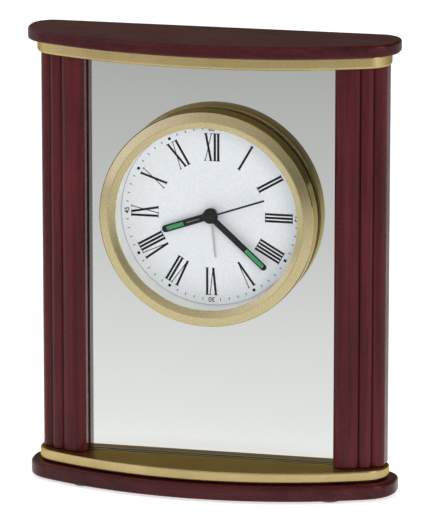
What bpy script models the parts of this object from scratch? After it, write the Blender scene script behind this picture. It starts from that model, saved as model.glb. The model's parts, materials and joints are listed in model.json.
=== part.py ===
"""Mantel clock: a quartz alarm insert set through a glass panel between two reeded wooden columns."""

import math

import bmesh
import bpy
from mathutils import Matrix, Vector
from mathutils.geometry import tessellate_polygon

MM = 0.001
GAP = 0.2
SETBACK = Vector((0.0, 13.35, 0.0)) * MM

# Case heights, from the table up.
PAD_H = 1.0
BASE_H = 6.1
LOWER_PLATE_H = 4.9
COLUMN_H = 167.5
UPPER_PLATE_H = 5.2
CAP_H = 5.1
BASE_Z = PAD_H + 0.1
LOWER_PLATE_Z = BASE_Z + BASE_H + GAP
COLUMN_Z = LOWER_PLATE_Z + LOWER_PLATE_H + GAP
UPPER_PLATE_Z = COLUMN_Z + COLUMN_H + GAP
CAP_Z = UPPER_PLATE_Z + UPPER_PLATE_H + GAP

# Bow-fronted boards. Y runs back from near the rear edge of the brass plates; SETBACK then
# centres the whole object.
BOARD_HALF = 77.5
BOARD_BACK = 5.0
BOARD_FRONT = -36.4
BOW_RADIUS = 162.0
PLATE_HALF = 73.9
PLATE_INSET = 4.1
PLATE_BACK = 0.9

# Columns: outline of the right-hand one, the left is its mirror.
COLUMN_IN = 52.4
COLUMN_OUT = 72.5
COLUMN_BACK = 0.0
REEDS = ((52.8, -15.0), (62.7, -13.2), (67.8, -10.7), (COLUMN_OUT, -7.0))
REED_SAG = (2.3, 1.5, 1.4)
SCREW_XY = (67.4, -4.2)
SINK_H = 2.6
DOWEL_XY = (59.4, -3.9)
DOWEL_R = 2.0
DOWEL_REACH = 9.0

# Glass panel and the insert set through it.
GLASS_FRONT = -11.0
GLASS_T = 5.0
GLASS_BACK = GLASS_FRONT + GLASS_T
GLASS_HALF = 55.8
GROOVE_X = 56.2
CLOCK_Z = 115.1
HOLE_R = 41.6
BEZEL_R = 45.0
CREST_R = 40.9
LIP_R = 38.2
BEZEL_FRONT = -20.0
CREST_Y = -21.7
TUBE_R = 41.2
BORE_R = 39.7
DRUM_FRONT = -5.1
DRUM_BACK = 3.5
COVER_BACK = 5.2
CRYSTAL_Y = -19.6
RING_R = 38.8
DIAL_Y = -9.8

# Back of the insert.
BATTERY_Z = -24.0
BATTERY_Y = -1.9
SWITCH_TRAVEL = 4.0
KNOB_Y = COVER_BACK + 0.3

# Hand positions, in degrees clockwise from twelve.
HOUR_AT = 251.0
MINUTE_AT = 132.0
SECOND_AT = 71.0
ALARM_AT = 174.0

# Axes of the gears, as a distance from the centre and degrees clockwise from twelve.
MOTION_AXIS = (10.0, 300.0)
ALARM_AXIS = (12.0, 60.0)
THIRD_AXIS = (9.52, 230.0)
STEP_AXIS = (9.8, 0.0)
ROTOR_AXIS = (17.0, 0.0)

COLOURS = {
    "rosewood": ((0.075, 0.012, 0.012), 0.0, 0.28),
    "dowel_beech": ((0.55, 0.36, 0.19), 0.0, 0.6),
    "satin_brass": ((0.62, 0.47, 0.22), 1.0, 0.34),
    "drum_brass": ((0.36, 0.26, 0.11), 1.0, 0.4),
    "panel_glass": ((0.72, 0.75, 0.73), 0.0, 0.05),
    "crystal_glass": ((0.9, 0.92, 0.93), 0.0, 0.04),
    "felt": ((0.03, 0.05, 0.03), 0.0, 0.95),
    "steel": ((0.55, 0.56, 0.58), 1.0, 0.35),
    "black_rubber": ((0.02, 0.02, 0.02), 0.0, 0.8),
    "cream_plastic": ((0.8, 0.78, 0.66), 0.0, 0.5),
    "dial_white": ((0.82, 0.84, 0.88), 0.0, 0.5),
    "black_hand": ((0.015, 0.02, 0.017), 0.0, 0.35),
    "silver_hand": ((0.6, 0.6, 0.6), 1.0, 0.35),
    "lume_green": ((0.05, 0.5, 0.18), 0.0, 0.5),
    "black_plastic": ((0.03, 0.03, 0.032), 0.0, 0.5),
    "white_plastic": ((0.75, 0.75, 0.73), 0.0, 0.5),
    "grey_plastic": ((0.3, 0.31, 0.33), 0.0, 0.5),
    "red_plastic": ((0.5, 0.03, 0.03), 0.0, 0.45),
    "copper": ((0.6, 0.26, 0.12), 1.0, 0.35),
    "board_green": ((0.02, 0.2, 0.08), 0.0, 0.5),
    "battery_wrap": ((0.12, 0.13, 0.16), 0.0, 0.35),
    "magnet": ((0.12, 0.12, 0.13), 1.0, 0.45),
}


def material(name):
    if name in bpy.data.materials:
        return bpy.data.materials[name]
    made = bpy.data.materials.new(name)
    made.use_nodes = True
    colour, metallic, rough = COLOURS[name]
    shader = made.node_tree.nodes["Principled BSDF"]
    shader.inputs["Base Color"].default_value = (*colour, 1.0)
    shader.inputs["Metallic"].default_value = metallic
    shader.inputs["Roughness"].default_value = rough
    if name.endswith("_glass"):
        shader.inputs["Transmission Weight"].default_value = 1.0
    made.diffuse_color = (*colour, 1.0)
    return made


def polar(radius, clockwise):
    turn = math.radians(clockwise)
    return radius * math.sin(turn), radius * math.cos(turn)


def ring(radius, count, centre=(0.0, 0.0), start=0.0):
    turns = [start + 360.0 * i / count for i in range(count)]
    return [(centre[0] + x, centre[1] + y) for x, y in (polar(radius, t) for t in turns)]


def box(u0, u1, v0, v1):
    return [(u0, v0), (u1, v0), (u1, v1), (u0, v1)]


def fillet(corners, steps=5):
    """Rounds each (u, v, radius) corner of a closed outline."""
    outline = []
    for i, (u, v, radius) in enumerate(corners):
        here = Vector((u, v))
        if not radius:
            outline.append((u, v))
            continue
        before = (Vector(corners[i - 1][:2]) - here).normalized()
        after = (Vector(corners[(i + 1) % len(corners)][:2]) - here).normalized()
        half = math.acos(max(-1.0, min(1.0, before.dot(after)))) / 2
        centre = here + (before + after).normalized() * radius / math.sin(half)
        start = here + before * radius / math.tan(half) - centre
        end = here + after * radius / math.tan(half) - centre
        sweep = start.angle_signed(end)
        for k in range(steps + 1):
            turned = start.copy()
            turned.rotate(Matrix.Rotation(-sweep * k / steps, 2))
            outline.append(tuple(centre + turned))
    return outline


def area(loop):
    pairs = zip(loop, loop[1:] + loop[:1])
    return sum(a[0] * b[1] - b[0] * a[1] for a, b in pairs) / 2


def shrink(loop, by):
    """Moves an anticlockwise outline inwards."""
    moved = []
    for i, point in enumerate(loop):
        here = Vector(point)
        into = (here - Vector(loop[i - 1])).normalized()
        out = (Vector(loop[(i + 1) % len(loop)]) - here).normalized()
        inward = Vector((-into.y - out.y, into.x + out.x)).normalized()
        lean = inward.dot(Vector((-into.y, into.x)))
        moved.append(tuple(here + inward * by / max(lean, 0.3)))
    return moved


def edge_levels(a0, a1, round0, round1, steps):
    """The (height, inset) levels of a slab with rounded-over edges."""
    levels = []
    for k in range(steps + 1):
        turn = math.pi / 2 * k / steps
        if round0:
            levels.append((a0 + round0 * (1 - math.cos(turn)), round0 * (1 - math.sin(turn))))
    if not round0:
        levels.append((a0, 0.0))
    upper = []
    for k in range(steps + 1):
        turn = math.pi / 2 * k / steps
        if round1:
            upper.append((a1 - round1 * (1 - math.cos(turn)), round1 * (1 - math.sin(turn))))
    return levels + (upper[::-1] or [(a1, 0.0)])


def slab(outline, a0, a1, rounded=(0.0, 0.0), holes=(), wells=(), steps=2):
    """Points and faces of an outline extruded from a0 to a1.

    holes are loops cut right through; wells are (centre, [(height, radius), ...], through).
    """
    outline = list(outline) if area(outline) > 0 else list(outline)[::-1]
    points, faces = [], []

    def add(loop, height):
        first = len(points)
        points.extend((u, v, height) for u, v in loop)
        return list(range(first, first + len(loop)))

    def wall(lower, upper, inside=False):
        count = len(lower)
        for i in range(count):
            j = (i + 1) % count
            quad = (lower[i], lower[j], upper[j], upper[i])
            faces.append(quad[::-1] if inside else quad)

    levels = edge_levels(a0, a1, rounded[0], rounded[1], steps)
    rings = [add(shrink(outline, inset) if inset else outline, height) for height, inset in levels]
    for lower, upper in zip(rings, rings[1:]):
        wall(lower, upper)
    bottoms, tops = [rings[0]], [rings[-1]]
    for loop in holes:
        loop = list(loop) if area(loop) > 0 else list(loop)[::-1]
        lower, upper = add(loop, a0), add(loop, a1)
        wall(lower, upper, inside=True)
        bottoms.append(lower)
        tops.append(upper)
    for centre, profile, through in wells:
        loops = [add(ring(r, 12, centre)[::-1], height) for height, r in profile]
        rising = profile[-1][0] > profile[0][0]
        for lower, upper in zip(loops, loops[1:]):
            wall(lower, upper, inside=True) if rising else wall(upper, lower, inside=True)
        (bottoms if rising else tops).append(loops[0])
        if through:
            tops.append(loops[-1])
        else:
            faces.append(tuple(loops[-1][::-1] if rising else loops[-1]))
    for loops, flip in ((bottoms, True), (tops, False)):
        flat = [index for loop in loops for index in loop]
        flat_loops = [[Vector(points[i][:2]).to_3d() for i in loop] for loop in loops]
        for tri in tessellate_polygon(flat_loops):
            a, b, c = (flat[k] for k in tri)
            pa, pb, pc = (Vector(points[k][:2]) for k in (a, b, c))
            turned = (pb - pa).cross(pc - pa) < 0
            faces.append((a, c, b) if turned != flip else (a, b, c))
    return points, faces


def turned(profile, count):
    """Points and faces of a closed (radius, height) profile turned about the height axis."""
    points, faces, rings = [], [], []
    for radius, height in profile:
        first = len(points)
        if radius < 1e-9:
            points.append((0.0, 0.0, height))
            rings.append([first] * count)
            continue
        for i in range(count):
            x, y = polar(radius, 360.0 * i / count)
            points.append((x, y, height))
        rings.append(list(range(first, first + count)))
    for k, lower in enumerate(rings):
        upper = rings[(k + 1) % len(rings)]
        for i in range(count):
            j = (i + 1) % count
            face = []
            for index in (lower[i], lower[j], upper[j], upper[i]):
                if index not in face:
                    face.append(index)
            if len(face) > 2:
                faces.append(tuple(face))
    return points, faces


def node(name, shape, colour, upright=False, smooth=True, at=(0.0, 0.0, 0.0)):
    """Makes the object. A shape's height axis is world Z when upright, else world Y."""
    points, faces = shape
    mesh = bpy.data.meshes.new(name)
    if upright:
        placed = [(u * MM, v * MM, h * MM) for u, v, h in points]
    else:
        placed = [(u * MM, h * MM, v * MM) for u, v, h in points]
    mesh.from_pydata(placed, [], faces)
    shell = bmesh.new()
    shell.from_mesh(mesh)
    bmesh.ops.remove_doubles(shell, verts=shell.verts, dist=1e-7)
    bmesh.ops.recalc_face_normals(shell, faces=shell.faces)
    shell.to_mesh(mesh)
    shell.free()
    mesh.materials.append(material(colour))
    made = bpy.data.objects.new(name, mesh)
    made.location = Vector(at) * MM + SETBACK
    bpy.context.scene.collection.objects.link(made)
    if smooth:
        mesh.shade_smooth()
        mesh.set_sharp_from_angle(angle=math.radians(35))
    return made


def fuse(name, shapes, colour, upright=False, smooth=True, at=(0.0, 0.0, 0.0)):
    """One body from several overlapping shapes."""
    made = node(name, shapes[0], colour, upright, False)
    for shape in shapes[1:]:
        tool = node(name + "_tool", shape, colour, upright, False)
        union = made.modifiers.new("Join", "BOOLEAN")
        union.operation = "UNION"
        union.solver = "EXACT"
        union.object = tool
        graph = bpy.context.evaluated_depsgraph_get()
        joined = bpy.data.meshes.new_from_object(made.evaluated_get(graph))
        made.modifiers.clear()
        old = made.data
        made.data = joined
        bpy.data.meshes.remove(old)
        spare = tool.data
        bpy.data.objects.remove(tool)
        bpy.data.meshes.remove(spare)
    made.data.name = name
    made.location = Vector(at) * MM + SETBACK
    if smooth:
        made.data.shade_smooth()
        made.data.set_sharp_from_angle(angle=math.radians(35))
    return made


def bow(half, back, front, radius, back_corner, front_corner):
    """Plan of a bow-fronted board."""
    end = front + radius - math.sqrt(radius**2 - half**2)
    corners = [(half, back, back_corner), (-half, back, back_corner), (-half, end, front_corner)]
    for i in range(1, 18):
        x = -half + 2 * half * i / 18
        corners.append((x, front + radius - math.sqrt(radius**2 - x * x), 0.0))
    corners.append((half, end, front_corner))
    return fillet(corners)


def bulge(start, end, sag, steps=6):
    """Points of an arc from start to end, bowed out by sag, leaving off the last."""
    a, b = Vector(start), Vector(end)
    chord = b - a
    side = Vector((chord.y, -chord.x)).normalized()
    radius = sag / 2 + chord.length_squared / (8 * sag)
    centre = (a + b) / 2 + side * (sag - radius)
    reach = math.asin(chord.length / 2 / radius)
    along = chord.normalized()
    turns = (reach * (2 * k / steps - 1) for k in range(steps))
    return [tuple(centre + (side * math.cos(t) + along * math.sin(t)) * radius) for t in turns]


def mirrored(loop):
    return [(-u, v) for u, v in loop]


def gear(teeth, module, phase, y0, y1, hole=0.0):
    """A gear with a tooth centred at phase degrees. Small pinions get flat-topped teeth."""
    pitch = 360.0 / teeth
    root = module * (teeth / 2 - 1.1)
    tip = module * (teeth / 2 + 0.8)
    outline = []
    for i in range(teeth):
        middle = phase + i * pitch
        if teeth > 20:
            outline += [polar(root, middle - 0.36 * pitch), polar(tip, middle),
                        polar(root, middle + 0.36 * pitch)]
            continue
        outline += [polar(root, middle - 0.3 * pitch), polar(tip, middle - 0.13 * pitch),
                    polar(tip, middle + 0.13 * pitch), polar(root, middle + 0.3 * pitch)]
    return slab(outline, y0, y1, holes=[ring(hole, 16)] if hole else [])


def facing(teeth, towards):
    """Phase that sets a gap of this gear towards a neighbour's tooth."""
    return towards + 180.0 / teeth


def rod(radius, y0, y1, count=12):
    return turned([(0, y0), (radius, y0), (radius, y1), (0, y1)], count)


def pipe(inner, outer, y0, y1, count=16):
    return turned([(inner, y0), (outer, y0), (outer, y1), (inner, y1)], count)


def washer(outer, inner, y0, y1, count=40):
    return turned([(inner, y0), (outer, y0), (outer, y1), (inner, y1)], count)


def knurl(radius, depth, ridges):
    out = []
    for i in range(ridges):
        pitch = 360.0 / ridges
        out.append(polar(radius, (i - 0.25) * pitch))
        out.append(polar(radius, (i + 0.25) * pitch))
        out.append(polar(radius - depth, (i + 0.4) * pitch))
        out.append(polar(radius - depth, (i + 0.6) * pitch))
    return out


def blade(reach, width, hub):
    """Outline of a hand pointing up, with a round end and a hub disc."""
    half = width / 2
    around = math.degrees(math.asin(half / hub))
    out = [(half * math.cos(math.radians(a)), reach - half + half * math.sin(math.radians(a)))
           for a in range(0, 181, 30)]
    step = (180.0 - 2 * around) / 8
    out += [polar(hub, 360.0 - around - step * k) for k in range(8)]
    out += [polar(hub, 180.0 + around), polar(hub, 180.0 - around)]
    out += [polar(hub, 180.0 - around - step * (k + 1)) for k in range(8)]
    return out


def contact(x0, x1, reach, back):
    """A contact's leaf, set on the battery's axis."""
    return slab(box(x0, x1, BATTERY_Z - reach, BATTERY_Z + reach), BATTERY_Y - reach,
                BATTERY_Y + back)


def turn_to(made, clockwise):
    made.rotation_euler = (0.0, math.radians(clockwise), 0.0)


def axle_at(place):
    return (place[0], 0.0, CLOCK_Z + place[1])


for old in list(bpy.data.objects):
    bpy.data.objects.remove(old, do_unlink=True)

# Wooden boards, brass plates and what holds them.
board = bow(BOARD_HALF, BOARD_BACK, BOARD_FRONT, BOW_RADIUS, 9.5, 15.0)
plate = bow(PLATE_HALF, PLATE_BACK, BOARD_FRONT + PLATE_INSET, BOW_RADIUS - PLATE_INSET, 6.0, 12.0)
screws = [(side * SCREW_XY[0], SCREW_XY[1]) for side in (-1, 1)]
dowels = [(side * DOWEL_XY[0], DOWEL_XY[1]) for side in (-1, 1)]
top = CAP_Z + CAP_H

base_wells = [(c, [(BASE_Z, 3.4), (BASE_Z + SINK_H, 3.4), (BASE_Z + SINK_H, 1.8),
                   (BASE_Z + BASE_H, 1.8)], True) for c in screws]
base_wells += [(c, [(BASE_Z + BASE_H, DOWEL_R), (BASE_Z + 2.4, DOWEL_R)], False) for c in dowels]
node("base", slab(board, BASE_Z, BASE_Z + BASE_H, (1.0, 1.4), wells=base_wells), "rosewood", True)

for name, z, high in (("lower_brass_plate", LOWER_PLATE_Z, LOWER_PLATE_H),
                      ("upper_brass_plate", UPPER_PLATE_Z, UPPER_PLATE_H)):
    wells = [(c, [(z, 1.8), (z + high, 1.8)], True) for c in screws]
    wells += [(c, [(z, DOWEL_R), (z + high, DOWEL_R)], True) for c in dowels]
    node(name, slab(plate, z, z + high, (1.6, 1.6), wells=wells), "satin_brass", True)

cap_wells = [(c, [(CAP_Z, 1.8), (CAP_Z + 3.0, 1.8)], False) for c in screws]
cap_wells += [(c, [(CAP_Z, DOWEL_R), (CAP_Z + 3.0, DOWEL_R)], False) for c in dowels]
node("top_cap", slab(board, CAP_Z, top, (0.9, 1.2), wells=cap_wells), "rosewood", True)

outline = []
for k, sag in enumerate(REED_SAG):
    outline += bulge(REEDS[k], REEDS[k + 1], sag)
outline += [REEDS[-1], (COLUMN_OUT, COLUMN_BACK - 0.6), (COLUMN_OUT - 0.6, COLUMN_BACK),
            (COLUMN_IN + 0.6, COLUMN_BACK), (COLUMN_IN, COLUMN_BACK - 0.6),
            (COLUMN_IN, GLASS_BACK + 0.2), (GROOVE_X, GLASS_BACK + 0.2),
            (GROOVE_X, GLASS_FRONT - 0.2), (COLUMN_IN, GLASS_FRONT - 0.2), (COLUMN_IN, -14.6)]
column_top = COLUMN_Z + COLUMN_H
for side, loop, word in ((-1, mirrored(outline), "left"), (1, outline, "right")):
    screw, dowel = (side * SCREW_XY[0], SCREW_XY[1]), (side * DOWEL_XY[0], DOWEL_XY[1])
    wells = [(screw, [(COLUMN_Z, 1.5), (COLUMN_Z + 20.5, 1.5)], False),
             (dowel, [(COLUMN_Z, DOWEL_R), (COLUMN_Z + DOWEL_REACH + 0.5, DOWEL_R)], False),
             (screw, [(column_top, 1.5), (column_top - 20.5, 1.5)], False),
             (dowel, [(column_top, DOWEL_R), (column_top - DOWEL_REACH - 0.5, DOWEL_R)], False)]
    node("column_" + word, slab(loop, COLUMN_Z, column_top, wells=wells), "rosewood", True)

    head = BASE_Z + SINK_H - 0.2
    screw_shape = turned([(0, head - 2.0), (3.0, head - 2.0), (3.1, head - 1.6), (3.1, head),
                          (1.35, head), (1.35, COLUMN_Z + 18.0), (0, COLUMN_Z + 20.0)], 16)
    node("base_screw_" + word, screw_shape, "steel", True, at=(*screw, 0))
    stud_shape = turned([(0, column_top - 18.0), (1.35, column_top - 17.0),
                         (1.35, CAP_Z + 2.0), (0, CAP_Z + 2.8)], 16)
    node("cap_stud_" + word, stud_shape, "steel", True, at=(*screw, 0))
    for end, z0, z1 in (("base_dowel_", BASE_Z + 2.6, COLUMN_Z + DOWEL_REACH),
                        ("cap_dowel_", column_top - DOWEL_REACH, CAP_Z + 2.8)):
        node(end + word, rod(DOWEL_R - 0.15, z0, z1, 14), "dowel_beech", True, at=(*dowel, 0))

for i, (x, y) in enumerate((side * 52.0, y) for side in (-1, 1) for y in (-0.5, -20.0)):
    node(f"foot_pad_{i + 1}", rod(4.5, 0.0, PAD_H, 16), "felt", True, at=(x, y, 0.0))

hole = ring(HOLE_R, 56, (0.0, CLOCK_Z))
pane = box(-GLASS_HALF, GLASS_HALF, COLUMN_Z, column_top)
node("glass_panel", slab(pane, GLASS_FRONT, GLASS_BACK, (0.5, 0.5), holes=[hole], steps=1),
     "panel_glass", smooth=False)

# The insert: bezel, crystal, dial and the drum behind the glass. All are turned about the
# clock's own centre, so their origins stand on the axis of the hands.
CENTRE = (0.0, 0.0, CLOCK_Z)
flange_back = GLASS_FRONT - 0.9
bezel = [(BEZEL_R - 0.3, BEZEL_FRONT), (BEZEL_R, BEZEL_FRONT + 0.4), (BEZEL_R, flange_back - 0.3),
         (BEZEL_R - 0.3, flange_back), (TUBE_R, flange_back), (TUBE_R, DRUM_FRONT + 3.0),
         (BORE_R, DRUM_FRONT + 3.0), (BORE_R, CRYSTAL_Y - GAP), (LIP_R, CRYSTAL_Y - GAP),
         (LIP_R, CREST_Y + 1.0), (CREST_R - 0.35, CREST_Y + 0.08), (CREST_R, CREST_Y),
         (CREST_R + 0.35, CREST_Y + 0.08)]
node("bezel", turned(bezel, 56), "satin_brass", at=CENTRE)
node("front_gasket", washer(44.0, HOLE_R, flange_back + 0.15, GLASS_FRONT - 0.15), "black_rubber",
     at=CENTRE)
node("rear_gasket", washer(44.0, HOLE_R, GLASS_BACK + 0.15, DRUM_FRONT - 0.15), "black_rubber",
     at=CENTRE)
crystal = [(0, CRYSTAL_Y), (BORE_R - 0.3, CRYSTAL_Y), (BORE_R - 0.3, CRYSTAL_Y + 1.5),
           (0, CRYSTAL_Y + 1.5)]
node("crystal", turned(crystal, 40), "crystal_glass", at=CENTRE)
rehaut = [(RING_R, CRYSTAL_Y + 1.7), (BORE_R - 0.3, CRYSTAL_Y + 1.7), (BORE_R - 0.3, DIAL_Y - GAP),
          (RING_R - 0.3, DIAL_Y - GAP)]
node("dial_ring", turned(rehaut, 48), "cream_plastic", at=CENTRE)
node("dial", washer(BORE_R - 0.3, 2.7, DIAL_Y, DIAL_Y + 0.5, 48), "dial_white", at=CENTRE)
drum = [(TUBE_R + 0.3, DRUM_FRONT), (BEZEL_R - 0.4, DRUM_FRONT), (BEZEL_R, DRUM_FRONT + 0.4),
        (BEZEL_R, DRUM_BACK - 0.4), (BEZEL_R - 0.4, DRUM_BACK), (43.7, DRUM_BACK),
        (43.7, DRUM_FRONT + 1.4), (TUBE_R + 0.3, DRUM_FRONT + 1.4)]
node("drum", turned(drum, 56), "drum_brass", at=CENTRE)

# Back cover with the battery opening, the knob holes and the switch slot.
motion_at, alarm_at = polar(*MOTION_AXIS), polar(*ALARM_AXIS)
third_at, step_at, rotor_at = polar(*THIRD_AXIS), polar(*STEP_AXIS), polar(*ROTOR_AXIS)
cover_front = DRUM_BACK + 0.2
opening = box(-24.2, 24.2, BATTERY_Z - 5.9, BATTERY_Z + 5.9)
slot = box(-4.2, 4.2, 29.2, 31.8)
knob_holes = [ring(1.2, 16, motion_at), ring(1.2, 16, alarm_at)]
cover_disc = slab(ring(44.6, 48), cover_front, COVER_BACK, (0.0, 0.5), steps=1,
                  holes=[opening, slot, *knob_holes])
spigot = pipe(41.6, 43.4, DRUM_BACK - 5.0, cover_front + 0.6, 48)
rails = [slab(box(*sorted((side * 25.4, side * 26.8)), -30.6, -16.6), COVER_BACK - 0.5,
              COVER_BACK + 1.6) for side in (-1, 1)]
fuse("back_cover", [cover_disc, spigot, *rails], "black_plastic", at=CENTRE)

door = slab(box(-25.1, 25.1, BATTERY_Z - 6.6, BATTERY_Z + 6.6), COVER_BACK + 0.2, COVER_BACK + 1.3,
            (0.0, 0.3), steps=1)
ridges = [slab(box(-6.0, 6.0, BATTERY_Z - 5.0 + 1.6 * k, BATTERY_Z - 4.4 + 1.6 * k),
               COVER_BACK + 1.0, COVER_BACK + 1.8) for k in range(3)]
fuse("battery_door", [door, *ridges], "black_plastic", smooth=False, at=CENTRE)

switch = [slab(box(-2.6, 2.6, -1.9, 1.9), cover_front - 0.75, cover_front - 0.15),
          slab(box(-1.6, 1.6, -1.0, 1.0), cover_front - 0.5, COVER_BACK + 1.6, (0.0, 0.3), steps=1)]
fuse("alarm_switch", switch, "red_plastic", smooth=False,
     at=(-SWITCH_TRAVEL / 2, 0.0, CLOCK_Z + 30.5))

# Battery, its tray and contacts. The cell lies across, so it is turned onto X.
tray_outer = fillet([(-24.9, BATTERY_Z - 6.4, 2.0), (24.9, BATTERY_Z - 6.4, 2.0),
                     (24.9, BATTERY_Z + 6.4, 1.0), (-24.9, BATTERY_Z + 6.4, 1.0)], 3)
tray_inner = box(-24.0, 24.0, BATTERY_Z - 5.6, BATTERY_Z + 5.6)
tray_walls = slab(tray_outer, -8.0, 2.9, holes=[tray_inner])
tray_floor = slab(tray_outer, -8.8, -7.6)
fuse("battery_tray", [tray_floor, tray_walls], "grey_plastic", smooth=False, at=CENTRE)
cell = turned([(0, -21.6), (4.6, -21.6), (5.1, -21.2), (5.1, 20.9), (4.6, 21.3), (1.9, 21.3),
               (1.9, 22.1), (0, 22.1)], 24)
made = node("battery", cell, "battery_wrap", at=(0.0, BATTERY_Y, CLOCK_Z + BATTERY_Z))
made.rotation_euler = (0.0, 0.0, -math.pi / 2)
node("contact_positive", contact(22.6, 23.1, 4.0, 4.4), "steel", smooth=False, at=CENTRE)
negative = [contact(-23.6, -23.1, 4.0, 4.4), contact(-23.3, -21.9, 1.4, 1.4)]
fuse("contact_negative", negative, "steel", smooth=False, at=CENTRE)

# Movement plates, motor and circuit.
frame = fillet([(-26.0, -16.8, 3.0), (26.0, -16.8, 3.0), (26.0, 28.5, 3.0), (-26.0, 28.5, 3.0)], 4)
front_holes = [ring(2.7, 24)]
node("movement_front_plate", slab(frame, DIAL_Y + 0.7, DIAL_Y + 1.7, holes=front_holes),
     "white_plastic", smooth=False, at=CENTRE)
rear_holes = [ring(1.1, 16, motion_at), ring(1.1, 16, alarm_at)]
rear = slab(frame, 1.9, 2.8, holes=rear_holes)
legs = [slab(ring(1.6, 12, (x, z)), DIAL_Y + 1.9, 2.2) for x in (-23.6, 23.6) for z in (-14.0, 25.8)]
fuse("movement_rear_plate", [rear, *legs], "white_plastic", smooth=False, at=CENTRE)
board_outline = box(-21.6, -13.0, -12.0, 21.0)
node("circuit_board", slab(board_outline, -1.0, -0.2), "board_green", smooth=False, at=CENTRE)
node("buzzer", slab(ring(6.2, 32, (17.5, -8.6)), -6.5, -3.0, (0.4, 0.4), steps=1), "black_plastic",
     at=CENTRE)
coil_z = 24.4
core_y = -1.15
yoke = [(-12.0, 12.9), (12.0, 12.9), (12.0, coil_z + 1.6), (10.2, coil_z + 1.6), (10.2, 20.9),
        (-10.2, 20.9), (-10.2, coil_z + 1.6), (-12.0, coil_z + 1.6)]
node("stator", slab(yoke, -2.4, core_y - 0.55, holes=[ring(2.6, 24, rotor_at)]), "steel",
     smooth=False, at=CENTRE)
node("coil_core", slab(box(-11.6, 11.6, coil_z - 0.9, coil_z + 0.9), core_y - 0.35, core_y + 0.35),
     "steel", smooth=False, at=CENTRE)
spool = [(1.2, -9.6), (2.8, -9.6), (2.8, -8.9), (1.6, -8.9), (1.6, 8.9), (2.8, 8.9), (2.8, 9.6),
         (1.2, 9.6)]
for name, shape, colour in (("coil_bobbin", spool, "white_plastic"),
                            ("coil_winding", [(1.8, -8.7), (2.5, -8.7), (2.5, 8.7), (1.8, 8.7)],
                             "copper")):
    made = node(name, turned(shape, 20), colour, at=(0.0, core_y, CLOCK_Z + coil_z))
    made.rotation_euler = (0.0, 0.0, -math.pi / 2)


# Motion work: cannon pinion 8 to motion wheel 24, its pinion 6 to hour wheel 24.
to_motion, to_alarm, to_third, to_step = (axis[1] for axis in (MOTION_AXIS, ALARM_AXIS, THIRD_AXIS,
                                                               STEP_AXIS))
cannon, quick = 2 * MOTION_AXIS[0] / 32, 2 * MOTION_AXIS[0] / 30
fine, finer = 2 * THIRD_AXIS[0] / 51, 2 * THIRD_AXIS[0] / 54
step, motor = 2 * STEP_AXIS[0] / 42, 2 * (ROTOR_AXIS[0] - STEP_AXIS[0]) / 30
minute_train = [pipe(0.55, 0.9, -13.7, -2.6),
                gear(8, cannon, facing(8, to_motion), -5.0, -4.1, 0.72)]
fuse("minute_arbor", minute_train, "steel", smooth=False, at=CENTRE)
hour_train = [pipe(1.1, 1.45, -12.3, -5.5), gear(24, quick, to_motion, -6.3, -5.6, 1.27)]
fuse("hour_wheel", hour_train, "white_plastic", smooth=False, at=CENTRE)
motion_train = [rod(0.6, -6.7, 7.4),
                gear(6, quick, facing(6, to_motion + 180.0), -6.45, -4.5),
                gear(24, cannon, to_motion + 180.0, -4.9, -4.2)]
fuse("motion_wheel", motion_train, "white_plastic", smooth=False, at=axle_at(motion_at))

# Going train: centre wheel 45, held on the minute arbor by friction, to pinion 6; third wheel 48
# to pinion 6; seconds wheel 36 to pinion 6; step wheel 25 to rotor pinion 5.
node("centre_wheel", gear(45, fine, to_third, -3.6, -2.9, 0.97), "white_plastic",
     smooth=False, at=CENTRE)
third_train = [rod(0.4, -3.9, 1.6),
               gear(6, fine, facing(6, to_third + 180.0), -3.7, -1.8),
               gear(48, finer, to_third + 180.0, -2.1, -1.5)]
fuse("third_wheel", third_train, "white_plastic", smooth=False, at=axle_at(third_at))
second_train = [rod(0.35, -14.9, 1.6),
                gear(6, finer, facing(6, to_third), -2.3, -0.3),
                gear(36, step, to_step, -0.5, 0.0)]
fuse("second_arbor", second_train, "steel", smooth=False, at=CENTRE)
step_train = [rod(0.4, -0.9, 1.7),
              gear(6, step, facing(6, to_step + 180.0), -0.7, 1.0),
              gear(25, motor, 0.0, 0.8, 1.3)]
fuse("step_wheel", step_train, "white_plastic", smooth=False, at=axle_at(step_at))
rotor = [rod(0.45, -3.4, 1.7), gear(5, motor, facing(5, 180.0), 0.6, 1.5),
         rod(2.2, -2.9, -1.2, 20)]
fuse("rotor", rotor, "magnet", smooth=False, at=axle_at(rotor_at))

# Alarm setting: knob pinion 10 to alarm wheel 30.
alarm_module = 2 * ALARM_AXIS[0] / 40
alarm_train = [pipe(1.65, 2.05, -11.2, -6.8), gear(30, alarm_module, to_alarm, -7.6, -6.9, 1.85)]
fuse("alarm_wheel", alarm_train, "white_plastic", smooth=False, at=CENTRE)
alarm_stem = [rod(0.6, -7.9, 7.4), gear(10, alarm_module, facing(10, to_alarm + 180.0), -7.7, -6.8)]
fuse("alarm_stem", alarm_stem, "white_plastic", smooth=False, at=axle_at(alarm_at))
for name, place in (("time_knob", motion_at), ("alarm_knob", alarm_at)):
    body = slab(knurl(4.4, 0.35, 18), KNOB_Y, KNOB_Y + 4.2, (0.0, 0.3), steps=1,
                wells=[((0.0, 0.0), [(KNOB_Y, 0.75), (KNOB_Y + 2.6, 0.75)], False)])
    node(name, body, "black_plastic", smooth=False, at=axle_at(place))

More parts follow.
